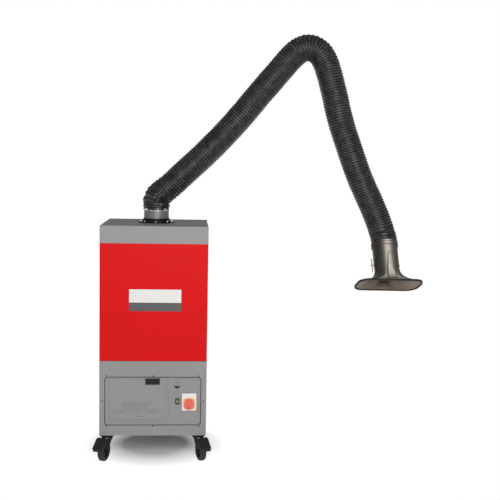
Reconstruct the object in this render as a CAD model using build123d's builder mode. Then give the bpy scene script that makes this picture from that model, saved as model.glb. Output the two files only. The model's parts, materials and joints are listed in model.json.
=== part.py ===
"""Mobile fume extractor: a wheeled filter cabinet with a self-supporting suction arm and an oval hood.

Origin: on the floor, under the centre of the cabinet.
+Z up, -Y the control panel side, +X where the arm reaches.
"""

import os
from math import cos, radians, sin, sqrt

from build123d import *

os.makedirs("parts", exist_ok=True)

# Cabinet
cabinet_width = 655.0
cabinet_depth = 655.0
base_level = 157.0  # underside of the cabinet, which is also the height of the casters
lower_height = 467.0
filter_height = 722.0
top_height = 107.0
sheet = 2.0
edge_radius = 6.0
pan_height = 40.0
gland_place = (262.0, 210.0)
outlet_level = 400.0
half_width = cabinet_width / 2
half_depth = cabinet_depth / 2
inner_size = (cabinet_width - 2 * sheet, cabinet_depth - 2 * sheet)
filter_level = base_level + lower_height
top_level = filter_level + filter_height
cabinet_top = top_level + top_height

# Control panel, on the front of the lower housing
panel_width = 588.0
panel_height = 302.0
panel_corner = 20.0
panel_level = 374.0  # middle of the panel above the floor
panel_seal_width = 3.0
panel_flange = 24.0
panel_proud = 1.0
screw_rows = [(x, z) for x in (-283.0, 0.0, 283.0) for z in (217.0, 531.0)]
screw_places = screw_rows + [(-310.0, panel_level), (310.0, panel_level)]
screw_shank = 2.0
screw_head = 4.0

meter_place = (-3.0, 497.0)
meter_size = (88.0, 38.0)
horn_place = (147.0, 474.0)
horn_radius = 17.0
rocker_place = (150.0, 373.0)
rocker_size = (26.0, 38.0)
switch_place = (222.0, 370.0)
switch_size = (89.0, 108.0)
knob_place = (222.0, 359.0)
knob_radius = 33.0

# Service door, on the back of the filter housing
door_width = 590.0
door_height = 640.0
door_depth = 16.0
door_level = filter_level + filter_height / 2
door_opening = (540.0, 590.0)
seal_depth = 3.0
soft_gap = 0.3
hinge_x = -door_width / 2 - 9.0
hinge_y = half_depth + 9.0
latch_place = (238.0, door_level)

# Casters
wheel_radius = 62.5
wheel_width = 32.0
rim_radius = 46.0
caster_trail = 48.0
caster_turn = 20.0  # how far the front casters are splayed outwards, in degrees
front_caster = (281.0, -285.0)
rear_caster = (298.0, 250.0)
plate_side = 84.0
rear_plate_width = 56.0
plate_thick = 4.0
fork_gap = 38.0
fork_sheet = 3.5
axle_radius = 5.0
pedal_pin = (28.0, 64.0)  # from the axle, along the rolling direction and up
pedal_pin_radius = 4.0
pedal_half_width = 34.0
lug_outer = fork_gap / 2 + fork_sheet + 3.5
running_gap = 0.05
rolling_gap = 0.4

# Arm and hose
flange_radius = 113.0
flange_bore = 75.0
flange_height = 22.0
bolt_circle = 100.0
collar_radius = 78.4
collar_wall = 3.0
collar_top = 1562.0
hose_radius = 83.0
hose_wall = 4.0
hose_start = Vector(0, 0, 1545)
shoulder = Vector(0, 0, 1601)
lower_kink = Vector(420, 0, 2034)
elbow_corner = Vector(991, 0, 2713)
elbow = Vector(965, 0, 2581)
upper_kink = Vector(1240, 0, 1925)
nod_pivot = Vector(1472, 0, 1404)
wrist = Vector(1426, 0, 1515)
shoulder_radius = 100.0
kink_radius = 400.0
elbow_radius = 125.0
nod_radius = 80.0
pin_radius = 6.0
hub_radius = 20.0
hub_width = 30.0
ear_thick = 5.0
ear_gap = 0.5

# Hood, along its own axis from the middle of the neck ring to the mouth
hood_lean = 27.0  # towards the front, in degrees
hood_roll = 1.5  # swung outwards, in degrees
hood_turn = 6.0  # about its own axis, in degrees
neck_drop = 75.0  # nod pivot to neck ring
neck_radius = 79.0
hood_wall = 3.0
flare_start = 168.0
flare_power = 3.2
mouth_depth = 282.0
mouth_half = (214.0, 103.0)
mouth_corner = 72.0
rim_width = 5.0
damper_level = 152.0
damper_radius = 73.0
damper_shaft = 4.0


def save(piece, name):
    """Labels a finished piece and writes its STEP file."""
    piece.part.label = name
    export_step(piece.part, f"parts/{name}.step")


def unit(start, end):
    return (end - start).normalized()


front = Plane.XZ.offset(half_depth)  # sketches as (x, z); extrudes outwards
back = Plane.XZ.offset(-half_depth)  # sketches as (x, z); outwards is negative

hood_axis = Vector(
    sin(radians(hood_roll)),
    -sin(radians(hood_lean)) * cos(radians(hood_roll)),
    -cos(radians(hood_lean)) * cos(radians(hood_roll)),
)
neck = nod_pivot + hood_axis * neck_drop
neck_frame = Plane(origin=neck, x_dir=(1, 0, 0), z_dir=-hood_axis)
turn = radians(hood_turn)
hood_across = neck_frame.x_dir * cos(turn) + neck_frame.y_dir * sin(turn)
hood = Plane(origin=neck, x_dir=hood_across, z_dir=-hood_axis)

# Lower housing and its control panel

with BuildPart() as base_pan:
    with BuildSketch(Plane.XY.offset(base_level)):
        RectangleRounded(*inner_size, edge_radius - sheet)
    extrude(amount=pan_height)
    with BuildSketch(Plane.XY.offset(base_level + 3)):
        RectangleRounded(cabinet_width - 4 * sheet, cabinet_depth - 4 * sheet, edge_radius - 2 * sheet)
    extrude(amount=pan_height, mode=Mode.SUBTRACT)
save(base_pan, "base_pan")

slot_columns, slot_rows = 5, 12
with BuildPart() as lower_housing:
    with BuildSketch(Plane.XY.offset(base_level)):
        RectangleRounded(cabinet_width, cabinet_depth, edge_radius)
        RectangleRounded(*inner_size, edge_radius - sheet, mode=Mode.SUBTRACT)
    extrude(amount=lower_height)
    with BuildSketch(front):
        with Locations((0, panel_level)):
            RectangleRounded(panel_width, panel_height, panel_corner)
        with Locations(*screw_places):
            Circle(screw_shank)
    extrude(amount=-sheet, mode=Mode.SUBTRACT)
    with BuildSketch(back):  # air outlet
        with Locations((0, outlet_level)):
            with GridLocations(90, 22, slot_columns, slot_rows):
                SlotOverall(72, 8)
    extrude(amount=sheet, mode=Mode.SUBTRACT)
    with BuildSketch(back):  # hole of the cable gland
        with Locations(gland_place):
            Circle(10)
    extrude(amount=sheet, mode=Mode.SUBTRACT)
save(lower_housing, "lower_housing")

panel_cuts = [
    (meter_place, (80, 30)),
    (rocker_place, (rocker_size[0] - 4, rocker_size[1] - 4)),
]
with BuildPart() as control_panel:
    with BuildSketch(front.offset(-sheet)):
        with Locations((0, panel_level)):
            RectangleRounded(panel_width + 2 * panel_flange, panel_height + 1.5 * panel_flange, panel_corner)
    extrude(amount=-sheet)
    with BuildSketch(front.offset(-sheet)):
        with Locations((0, panel_level)):
            RectangleRounded(
                panel_width - 2 * panel_seal_width,
                panel_height - 2 * panel_seal_width,
                panel_corner - panel_seal_width,
            )
    extrude(amount=sheet + panel_proud)
    with BuildSketch(front.offset(panel_proud)):
        for place, size in panel_cuts:
            with Locations(place):
                Rectangle(*size)
        with Locations(horn_place):
            Circle(horn_radius - 5)
        with Locations(knob_place):
            Circle(18)
        with Locations(*screw_places):
            Circle(screw_shank)
    extrude(amount=-4 * sheet, mode=Mode.SUBTRACT)
save(control_panel, "control_panel")

with BuildPart() as panel_seal:
    with BuildSketch(front.offset(-sheet)):
        with Locations((0, panel_level)):
            RectangleRounded(panel_width, panel_height, panel_corner)
            RectangleRounded(
                panel_width - 2 * panel_seal_width,
                panel_height - 2 * panel_seal_width,
                panel_corner - panel_seal_width,
                mode=Mode.SUBTRACT,
            )
    extrude(amount=sheet + panel_proud / 2)
save(panel_seal, "panel_seal")

with BuildPart() as panel_screws:
    with BuildSketch(front.offset(-2 * sheet)):
        with Locations(*screw_places):
            Circle(screw_shank)
    extrude(amount=2 * sheet)
    with BuildSketch(front):
        with Locations(*screw_places):
            Circle(screw_head)
    extrude(amount=2.2, taper=18)
save(panel_screws, "panel_screws")

with BuildPart() as hour_meter:
    with BuildSketch(front.offset(panel_proud)):
        with Locations(meter_place):
            RectangleRounded(*meter_size, 2)
    extrude(amount=4)
    with BuildSketch(front.offset(panel_proud)):
        with Locations(meter_place):
            Rectangle(80, 30)
    extrude(amount=-28)
    with BuildSketch(front.offset(panel_proud + 4)):
        with Locations(meter_place):
            RectangleRounded(meter_size[0] - 10, meter_size[1] - 12, 1)
    extrude(amount=-1.2, mode=Mode.SUBTRACT)
save(hour_meter, "hour_meter")

with BuildPart() as signal_horn:
    with BuildSketch(front.offset(panel_proud)):
        with Locations(horn_place):
            Circle(horn_radius)
    extrude(amount=5, taper=10)
    with BuildSketch(front.offset(panel_proud)):
        with Locations(horn_place):
            Circle(horn_radius - 5)
    extrude(amount=-22)
    with BuildSketch(front.offset(panel_proud + 5)):
        with Locations(horn_place):
            Circle(horn_radius - 6)
            Circle(horn_radius - 9, mode=Mode.SUBTRACT)
    extrude(amount=-2, mode=Mode.SUBTRACT)
save(signal_horn, "signal_horn")

with BuildPart() as rocker_bezel:
    with BuildSketch(front.offset(panel_proud)):
        with Locations(rocker_place):
            RectangleRounded(*rocker_size, 2)
            Rectangle(rocker_size[0] - 8, rocker_size[1] - 8, mode=Mode.SUBTRACT)
    extrude(amount=3)
    with BuildSketch(front.offset(panel_proud)):
        with Locations(rocker_place):
            Rectangle(rocker_size[0] - 4, rocker_size[1] - 4)
            Rectangle(rocker_size[0] - 8, rocker_size[1] - 8, mode=Mode.SUBTRACT)
    extrude(amount=-20)
    with BuildSketch(front.offset(panel_proud - 20)):
        with Locations(rocker_place):
            Rectangle(rocker_size[0] - 4, rocker_size[1] - 4)
    extrude(amount=-2)
save(rocker_bezel, "rocker_bezel")

rocker_pivot = Vector(rocker_place[0], -(half_depth + panel_proud - 7), rocker_place[1])
rocker_side = Plane(origin=rocker_pivot, x_dir=(0, 1, 0), z_dir=(1, 0, 0))
with BuildPart() as start_rocker:
    with BuildSketch(rocker_side):
        with BuildLine():
            Polyline((7, -10), (-10, -12), (-8.2, 0), (-10, 12), (7, 10), (7, -10))
        make_face()
    extrude(amount=(rocker_size[0] - 9) / 2, both=True)
save(start_rocker, "start_rocker")

with BuildPart() as switch_base:
    with BuildSketch(front.offset(panel_proud)):
        with Locations(switch_place):
            RectangleRounded(*switch_size, 5)
    extrude(amount=7)
    chamfer(switch_base.faces().sort_by(Axis.Y)[0].edges(), 1.5)
    with BuildSketch(front.offset(panel_proud)):
        with Locations(knob_place):
            Circle(18)
    extrude(amount=-45)
    with BuildSketch(front.offset(panel_proud + 10)):
        with Locations(knob_place):
            Circle(5 + running_gap)
    extrude(amount=-30, mode=Mode.SUBTRACT)
save(switch_base, "switch_base")

with BuildPart() as switch_ring:
    with BuildSketch(front.offset(panel_proud + 7)):
        with Locations(knob_place):
            RectangleRounded(68, 68, 10)
            Circle(9, mode=Mode.SUBTRACT)
    extrude(amount=3)
save(switch_ring, "switch_ring")

knob_face = panel_proud + 10.5
with BuildPart() as switch_knob:
    with BuildSketch(front.offset(knob_face)):
        with Locations(knob_place):
            Circle(knob_radius)
    extrude(amount=9)
    fillet(switch_knob.faces().sort_by(Axis.Y)[0].edges(), 2)
    with BuildSketch(front.offset(knob_face + 9)):
        with Locations(knob_place):
            SlotOverall(2 * knob_radius - 8, 17, rotation=90)
    extrude(amount=15, taper=4)
    with BuildSketch(front.offset(knob_face)):
        with Locations(knob_place):
            Circle(5)
    extrude(amount=-28)
save(switch_knob, "switch_knob")

gland_bore = 5.5
with BuildPart() as cable_gland:
    with BuildSketch(back):
        with Locations(gland_place):
            RegularPolygon(14, 6)
    extrude(amount=-7)
    with BuildSketch(back.offset(-7)):
        with Locations(gland_place):
            Circle(11.5)
    extrude(amount=-15, taper=8)
    with BuildSketch(back.offset(sheet + 6)):
        with Locations(gland_place):
            Circle(10)
    extrude(amount=-sheet - 6)
    with BuildSketch(back.offset(sheet)):
        with Locations(gland_place):
            RegularPolygon(13.5, 6)
            Circle(10, mode=Mode.SUBTRACT)
    extrude(amount=5)
    with BuildSketch(back.offset(20)):
        with Locations(gland_place):
            Circle(gland_bore)
    extrude(amount=-60, mode=Mode.SUBTRACT)
save(cable_gland, "cable_gland")

# Fan

fan_top = filter_level
fan_bottom = 446.0
fan_radius = 205.0
inlet_radius = 105.0
with BuildPart() as partition:
    with BuildSketch(Plane.XY.offset(filter_level)):
        RectangleRounded(cabinet_width - 2 * sheet - 1, cabinet_depth - 2 * sheet - 1, edge_radius)
        Circle(inlet_radius, mode=Mode.SUBTRACT)
    extrude(amount=3)
    with BuildSketch(Plane.XZ):  # inlet cone, reaching down into the impeller's eye
        with BuildLine():
            Polyline(
                (inlet_radius, filter_level + 3),
                (inlet_radius, filter_level),
                (88, filter_level - 22),
                (88, filter_level - 40),
                (85, filter_level - 40),
                (85, filter_level - 20),
                (inlet_radius - 4, filter_level + 3),
                (inlet_radius, filter_level + 3),
            )
        make_face()
    revolve(axis=Axis.Z)
save(partition, "partition")

with BuildPart() as fan_housing:
    with BuildSketch(Plane.XY.offset(fan_bottom)):
        Circle(fan_radius)
    extrude(amount=fan_top - fan_bottom)
    with BuildSketch(Plane.XY.offset(fan_bottom + 3)):
        Circle(fan_radius - 2.5)
    extrude(amount=fan_top - fan_bottom, mode=Mode.SUBTRACT)
    with BuildSketch(Plane.XY.offset(fan_bottom)):
        Circle(22)
    extrude(amount=3, mode=Mode.SUBTRACT)
    with BuildSketch(Plane.XZ.offset(-fan_radius - 5)):  # outlet, towards the back wall
        with Locations((0, (fan_bottom + fan_top) / 2)):
            Rectangle(240, 120)
    extrude(amount=fan_radius, mode=Mode.SUBTRACT)
save(fan_housing, "fan_housing")

motor_radius = 80.0
with BuildPart() as fan_motor:
    with BuildSketch(Plane.XY.offset(fan_bottom - 185)):
        Circle(motor_radius)
        with PolarLocations(motor_radius, 24):
            Rectangle(10, 4)
    extrude(amount=160)
    with BuildSketch(Plane.XY.offset(fan_bottom - 25)):
        Circle(motor_radius + 10)
    extrude(amount=25)
    with BuildSketch(Plane.XY.offset(fan_bottom - 60)):
        Circle(11 + running_gap)
    extrude(amount=60, mode=Mode.SUBTRACT)
    with BuildSketch(Plane.YZ.offset(motor_radius - 8)):  # terminal box
        with Locations((0, fan_bottom - 105)):
            RectangleRounded(80, 70, 6)
    extrude(amount=38)
save(fan_motor, "fan_motor")

blades = 10
wheel_bottom = fan_bottom + 18
wheel_top = filter_level - 34
with BuildPart() as fan_impeller:
    with BuildSketch(Plane.XY.offset(wheel_bottom)):
        Circle(165)
    extrude(amount=4)
    with BuildSketch(Plane.XY.offset(wheel_bottom)):
        Circle(24)
    extrude(amount=46)
    with BuildSketch(Plane.XY.offset(wheel_bottom + 4)):
        with PolarLocations(128, blades):
            with Locations(Rotation(0, 0, 52)):
                Rectangle(76, 3)
    extrude(amount=wheel_top - wheel_bottom - 8)
    with BuildSketch(Plane.XY.offset(wheel_top - 4)):
        Circle(165)
        Circle(92, mode=Mode.SUBTRACT)
    extrude(amount=4)
    with BuildSketch(Plane.XY.offset(fan_bottom - 58)):  # shaft
        Circle(11)
    extrude(amount=wheel_bottom - fan_bottom + 60)
save(fan_impeller, "fan_impeller")

# Filter housing, door and what is inside

with BuildPart() as filter_housing:
    with BuildSketch(Plane.XY.offset(filter_level)):
        RectangleRounded(cabinet_width, cabinet_depth, edge_radius)
        RectangleRounded(*inner_size, edge_radius - sheet, mode=Mode.SUBTRACT)
    extrude(amount=filter_height)
    with BuildSketch(back):
        with Locations((0, door_level)):
            RectangleRounded(*door_opening, 10)
    extrude(amount=sheet, mode=Mode.SUBTRACT)
save(filter_housing, "filter_housing")

with BuildPart() as name_plate:
    with BuildSketch(front):
        with Locations((9, 1000.5)):
            RectangleRounded(316, 133, 3)
    extrude(amount=1.2)
save(name_plate, "name_plate")

cassette_level = 700.0
cassette_height = 500.0
cassette_side = 560.0
pleats = 16
pleat_pitch = (cassette_side - 24) / pleats
with BuildPart() as filter_cassette:
    with BuildSketch(Plane.XY.offset(cassette_level)):
        Rectangle(cassette_side, cassette_side)
        Rectangle(cassette_side - 24, cassette_side - 24, mode=Mode.SUBTRACT)
    extrude(amount=cassette_height)
    with BuildSketch(Plane.XZ):
        with BuildLine():
            low, high = cassette_level + 40, cassette_level + cassette_height - 40
            start = -(cassette_side - 24) / 2
            upper = [(start + i * pleat_pitch / 2, high if i % 2 else low) for i in range(2 * pleats + 1)]
            lower = [(x, z - 24) for x, z in reversed(upper)]
            Polyline(*upper, *lower, upper[0])
        make_face()
    extrude(amount=(cassette_side - 22) / 2, both=True)
save(filter_cassette, "filter_cassette")

with BuildPart() as spark_trap:
    with BuildSketch(Plane.XY.offset(1290)):
        Rectangle(440, 440)
        with GridLocations(52, 100, 7, 4):
            SlotOverall(80, 22, rotation=90, mode=Mode.SUBTRACT)
    extrude(amount=3)
    with BuildSketch(Plane.XY.offset(1293)):
        with GridLocations(420, 420, 2, 2):
            Rectangle(20, 20)
    extrude(amount=cabinet_top - sheet - 1293)
save(spark_trap, "spark_trap")

with BuildPart() as top_housing:
    with BuildSketch(Plane.XY.offset(top_level)):
        RectangleRounded(cabinet_width, cabinet_depth, edge_radius)
    extrude(amount=top_height)
    fillet(top_housing.faces().sort_by(Axis.Z)[-1].edges(), 4)
    with BuildSketch(Plane.XY.offset(top_level)):
        RectangleRounded(cabinet_width - 2 * sheet, cabinet_depth - 2 * sheet, edge_radius - sheet)
    extrude(amount=top_height - sheet, mode=Mode.SUBTRACT)
    with BuildSketch(Plane.XY.offset(cabinet_top - sheet)):
        Circle(flange_bore)
        with PolarLocations(bolt_circle, 8):
            Circle(4)
    extrude(amount=sheet, mode=Mode.SUBTRACT)
save(top_housing, "top_housing")

door_face = half_depth + soft_gap + seal_depth
with BuildPart() as service_door:
    with BuildSketch(Plane.XZ.offset(-door_face)):
        with Locations((0, door_level)):
            RectangleRounded(door_width, door_height, 5)
    extrude(amount=-door_depth)
    with BuildSketch(Plane.XZ.offset(-door_face)):
        with Locations((0, door_level)):
            RectangleRounded(door_width - 2 * sheet, door_height - 2 * sheet, 3)
    extrude(amount=-(door_depth - sheet), mode=Mode.SUBTRACT)
    for x in (door_width / 2 - 13, -door_width / 2 + 13):  # inner edge strips that carry the seal
        with BuildSketch(Plane.XZ.offset(-door_face)):
            with Locations((x, door_level)):
                Rectangle(22, door_height - 2 * sheet)
        extrude(amount=-sheet)
    for z in (door_height / 2 - 13, -door_height / 2 + 13):
        with BuildSketch(Plane.XZ.offset(-door_face)):
            with Locations((0, door_level + z)):
                Rectangle(door_width - 2 * sheet, 22)
        extrude(amount=-sheet)
    with BuildSketch(Plane.XZ.offset(-door_face)):  # latch bore
        with Locations(latch_place):
            Circle(14)
    extrude(amount=-(door_depth - sheet))
    with BuildSketch(Plane.XZ.offset(-door_face)):
        with Locations(latch_place):
            Circle(7 + running_gap)
    extrude(amount=-door_depth, mode=Mode.SUBTRACT)
    for z in (door_level - 220, door_level + 220):  # hinge knuckles and their leaves
        with BuildSketch(Plane.XY.offset(z - 20)):
            with Locations((hinge_x, hinge_y)):
                Circle(5.5)
            with Locations((hinge_x + 6, hinge_y + 4)):
                Rectangle(8, 3)
        extrude(amount=40)
        with BuildSketch(Plane.XY.offset(z - 20)):
            with Locations((hinge_x, hinge_y)):
                Circle(3 + running_gap)
        extrude(amount=40, mode=Mode.SUBTRACT)
save(service_door, "service_door")

with BuildPart() as door_seal:
    with BuildSketch(Plane.XZ.offset(-half_depth - soft_gap)):
        with Locations((0, door_level)):
            RectangleRounded(door_width - 8, door_height - 8, 4)
            RectangleRounded(door_width - 40, door_height - 40, 4, mode=Mode.SUBTRACT)
    extrude(amount=-seal_depth)
save(door_seal, "door_seal")

with BuildPart() as door_hinges:
    for z in (door_level - 220, door_level + 220):
        with BuildSketch(Plane.XY.offset(z - 45)):
            with Locations((hinge_x, hinge_y)):
                Circle(3)
        extrude(amount=90)
        for end in (z - 45, z + 20 + rolling_gap):
            with BuildSketch(Plane.XY.offset(end)):
                with Locations((hinge_x, hinge_y)):
                    Circle(5.5)
                with Locations((hinge_x - 2, half_depth + 4.5)):
                    Rectangle(6, 9)
            extrude(amount=25 - rolling_gap)
        with BuildSketch(Plane.XY.offset(z - 45)):
            with Locations((hinge_x - 4, half_depth + 1)):
                Rectangle(12, 2)
        extrude(amount=90)
save(door_hinges, "door_hinges")

with BuildPart() as door_latch:
    with BuildSketch(Plane.XZ.offset(-door_face - door_depth - 0.3)):
        with Locations(latch_place):
            Circle(16)
    extrude(amount=-4)
    with BuildSketch(Plane.XZ.offset(-door_face - door_depth - 4.3)):
        with Locations(latch_place):
            SlotOverall(74, 15, rotation=90)
    extrude(amount=-15, taper=3)
    with BuildSketch(Plane.XZ.offset(-door_face - door_depth - 0.3)):
        with Locations(latch_place):
            Circle(7)
    extrude(amount=door_depth + 12)
    with BuildSketch(Plane.XZ.offset(-door_face + 6)):  # tongue
        with Locations((latch_place[0] + 10, latch_place[1])):
            Rectangle(40, 20)
    extrude(amount=4)
save(door_latch, "door_latch")

# Casters


def tyre(centre, heading):
    """A solid tyre round a rim; heading is the rolling direction."""
    side = Plane(origin=centre, x_dir=heading, z_dir=heading.cross(Vector(0, 0, 1)))
    with BuildPart() as piece:
        with BuildSketch(side.offset(-wheel_width / 2)):
            Circle(wheel_radius)
        extrude(amount=wheel_width)
        fillet(piece.edges(), 7)
        with BuildSketch(side.offset(-wheel_width / 2)):
            Circle(rim_radius)
        extrude(amount=wheel_width, mode=Mode.SUBTRACT)
    return piece


def rim(centre, heading):
    """A plastic wheel centre with a hub, a web and a seat for the tyre."""
    side = Plane(origin=centre, x_dir=heading, z_dir=heading.cross(Vector(0, 0, 1)))
    with BuildPart() as piece:
        with BuildSketch(side.offset(-(wheel_width - 4) / 2)):
            Circle(rim_radius)
            Circle(rim_radius - 6, mode=Mode.SUBTRACT)
        extrude(amount=wheel_width - 4)
        with BuildSketch(side.offset(-5)):
            Circle(rim_radius - 3)
        extrude(amount=10)
        with BuildSketch(side.offset(-(fork_gap - 2 * rolling_gap) / 2)):
            Circle(14)
        extrude(amount=fork_gap - 2 * rolling_gap)
        with BuildSketch(side.offset(-fork_gap / 2)):
            Circle(axle_radius + running_gap)
        extrude(amount=fork_gap, mode=Mode.SUBTRACT)
    return piece


def caster_fork(swivel, centre, heading, turning):
    """The pressed fork, its crown and the axle; a turning one hangs on a kingpin."""
    side = Plane(origin=centre, x_dir=heading, z_dir=heading.cross(Vector(0, 0, 1)))
    top = base_level - plate_thick
    crown_top = top - 10 if turning else top - 0.2
    width = fork_gap + 2 * fork_sheet
    crown = side.to_local_coords(swivel)
    reach = 24 if turning else 0
    with BuildPart() as piece:
        for hand in (1, -1):  # sloping cheeks, from the crown down to the axle
            with BuildSketch(side.offset(hand * fork_gap / 2)):
                with BuildLine():
                    Polyline(
                        (crown.X - 30, crown.Y - 20),
                        (crown.X + 30 + reach, crown.Y - 20),
                        (14 + reach, 52 - reach / 4),
                        (14, 4),
                        (10, -9),
                        (-10, -9),
                        (-14, 2),
                        (crown.X - 30, crown.Y - 20),
                    )
                make_face()
                Circle(14)
                if turning:
                    with Locations(pedal_pin):
                        Circle(9)
                        Circle(pedal_pin_radius + running_gap, mode=Mode.SUBTRACT)
            extrude(amount=hand * fork_sheet)
        crown_plane = Plane(origin=(swivel.X, swivel.Y, crown_top), x_dir=heading, z_dir=(0, 0, 1))
        with BuildSketch(crown_plane):
            if turning:
                Circle(32)
            Rectangle(64, width)
        extrude(amount=-4)
        with BuildSketch(side):
            legs_top = side.to_local_coords(Vector(swivel.X, swivel.Y, crown_top - 2))
            with Locations((legs_top.X, legs_top.Y - 10)):
                Rectangle(60, 22)
        extrude(amount=width / 2, both=True)
        with BuildSketch(side):
            with Locations((legs_top.X, legs_top.Y - 14)):
                Rectangle(80, 24)
        extrude(amount=fork_gap / 2, both=True, mode=Mode.SUBTRACT)
        if turning:
            with BuildSketch(crown_plane.offset(-4)):
                Circle(7)
            extrude(amount=4 + 10 + plate_thick - 1)
        with BuildSketch(side):
            Circle(axle_radius)
        extrude(amount=width / 2, both=True)
        for end in (1, -1):
            with BuildSketch(side.offset(end * width / 2)):
                RegularPolygon(9, 6)
            extrude(amount=end * 6)
    return piece


def brake_pedal(centre, heading):
    """A stepped foot pedal over the front of the wheel, on a cross pin in the fork's ears."""
    side = Plane(origin=centre, x_dir=heading, z_dir=heading.cross(Vector(0, 0, 1)))
    with BuildPart() as piece:
        with BuildSketch(side):
            with BuildLine():
                Polyline(
                    (14, 85), (38, 81), (62, 63), (84, 44), (96, 41), (96, 37), (80, 37),
                    (86, 22), (83, 17), (71, 20), (67, 36), (57, 54), (36, 76), (14, 80), (14, 85),
                )
            make_face()
        extrude(amount=pedal_half_width, both=True)
        with BuildSketch(side):
            with Locations(pedal_pin):
                Circle(pedal_pin_radius)
        extrude(amount=lug_outer, both=True)
        for hand in (1, -1):
            with BuildSketch(side.offset(hand * (lug_outer - 3))):
                with Locations(pedal_pin):
                    Circle(8)
                with Locations((pedal_pin[0] + 4, pedal_pin[1] + 9)):
                    Rectangle(16, 14)
            extrude(amount=hand * 3)
    return piece


wheels = {}
for name, sign in (("left", -1), ("right", 1)):
    angle = radians(caster_turn)
    heading = Vector(sign * sin(angle), -cos(angle), 0)
    swivel = Vector(sign * front_caster[0], front_caster[1], base_level)
    centre = Vector(swivel.X, swivel.Y, wheel_radius) + heading * caster_trail
    wheels[f"front_{name}"] = (centre, heading)
    save(caster_fork(swivel, centre, heading, True), f"{name}_caster_fork")
    save(brake_pedal(centre, heading), f"{name}_brake_pedal")
    wheels[f"rear_{name}"] = (Vector(sign * rear_caster[0], rear_caster[1], wheel_radius), Vector(0, -1, 0))

for name, (centre, heading) in wheels.items():
    save(tyre(centre, heading), f"{name}_tyre")
    save(rim(centre, heading), f"{name}_rim")

with BuildPart() as rear_caster_forks:
    for sign in (-1, 1):
        place = Vector(sign * rear_caster[0], rear_caster[1], base_level)
        centre, heading = wheels["rear_left" if sign < 0 else "rear_right"]
        add(caster_fork(place, centre, heading, False).part)
save(rear_caster_forks, "rear_caster_forks")

front_plates = [(-front_caster[0], front_caster[1]), front_caster]
rear_plates = [(-rear_caster[0], rear_caster[1]), rear_caster]
with BuildPart() as caster_plates:
    with BuildSketch(Plane.XY.offset(base_level - plate_thick)):
        with Locations(*front_plates):
            RectangleRounded(plate_side, plate_side, 8)
        with Locations(*rear_plates):
            RectangleRounded(rear_plate_width, 100, 6)
    extrude(amount=plate_thick)
    with BuildSketch(Plane.XY.offset(base_level - plate_thick)):
        with Locations(*front_plates):
            Circle(34)
    extrude(amount=-9.7)
    with BuildSketch(Plane.XY.offset(base_level)):
        with Locations(*front_plates):
            Circle(7 + running_gap)
    extrude(amount=-plate_thick - 10, mode=Mode.SUBTRACT)
    with BuildSketch(Plane.XY.offset(base_level - plate_thick)):
        for x, y in front_plates:
            with Locations((x, y)):
                with GridLocations(68, 68, 2, 2):
                    RegularPolygon(6, 6)
    extrude(amount=-5)
save(caster_plates, "caster_plates")

# Arm flange, swivel and arm frame

with BuildPart() as arm_flange:
    with BuildSketch(Plane.XZ):
        with BuildLine():
            Polyline(
                (flange_bore, cabinet_top),
                (flange_radius, cabinet_top),
                (flange_radius, cabinet_top + 6),
                (flange_radius - 22, cabinet_top + 8),
                (86, cabinet_top + flange_height - 2),
                (84, cabinet_top + flange_height),
                (flange_bore, cabinet_top + flange_height),
                (flange_bore, cabinet_top),
            )
        make_face()
    revolve(axis=Axis.Z)
    with BuildSketch(Plane.XY.offset(cabinet_top)):
        with PolarLocations(bolt_circle, 8):
            Circle(4)
    extrude(amount=flange_height, mode=Mode.SUBTRACT)
save(arm_flange, "arm_flange")

with BuildPart() as flange_bolts:
    with BuildSketch(Plane.XY.offset(cabinet_top - 12)):
        with PolarLocations(bolt_circle, 8):
            Circle(4)
    extrude(amount=21)
    with BuildSketch(Plane.XY.offset(cabinet_top + 8.5)):
        with PolarLocations(bolt_circle, 8):
            RegularPolygon(6.5, 6)
    extrude(amount=5.5)
save(flange_bolts, "flange_bolts")

ring_level = cabinet_top + flange_height + rolling_gap
with BuildPart() as slew_ring:
    with BuildSketch(Plane.XY.offset(ring_level)):
        Circle(84)
        Circle(flange_bore - 4, mode=Mode.SUBTRACT)
    extrude(amount=6)
    with BuildSketch(Plane.XY.offset(cabinet_top - 4)):
        Circle(flange_bore - running_gap)
        Circle(flange_bore - 4, mode=Mode.SUBTRACT)
    extrude(amount=flange_height + 4 + rolling_gap)
save(slew_ring, "slew_ring")

collar_level = ring_level + 6
with BuildPart() as hose_collar:
    with BuildSketch(Plane.XY.offset(collar_level)):
        Circle(collar_radius)
        Circle(collar_radius - collar_wall, mode=Mode.SUBTRACT)
    extrude(amount=collar_top - collar_level)
save(hose_collar, "hose_collar")

clamp_level = 1531.0
clamp_height = hose_start.Z - clamp_level
with BuildPart() as hose_clamp:
    with BuildSketch(Plane.XY.offset(clamp_level)):
        Circle(collar_radius + 2.5)
        Circle(collar_radius, mode=Mode.SUBTRACT)
    extrude(amount=clamp_height)
    with BuildSketch(Plane.XZ):
        with Locations((collar_radius + 7, clamp_level + clamp_height / 2)):
            Rectangle(11, 10)
    extrude(amount=12, both=True)
save(hose_clamp, "hose_clamp")

bracket_level = collar_level
with BuildPart() as shoulder_bracket:
    with BuildSketch(Plane.XY.offset(bracket_level)):
        Rectangle(2 * (flange_bore - 5), 42)
    extrude(amount=6)
    for side in (1, -1):
        with BuildSketch(Plane.XZ.offset(side * (hub_width / 2 + ear_gap))):
            with Locations((shoulder.X, (bracket_level + shoulder.Z) / 2)):
                Rectangle(36, shoulder.Z - bracket_level)
            with Locations((shoulder.X, shoulder.Z)):
                Circle(18)
        extrude(amount=side * ear_thick)
    with BuildSketch(Plane.XZ):
        with Locations((shoulder.X, shoulder.Z)):
            Circle(pin_radius)
    extrude(amount=hub_width / 2 + ear_thick + 6, both=True)
save(shoulder_bracket, "shoulder_bracket")


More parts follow.
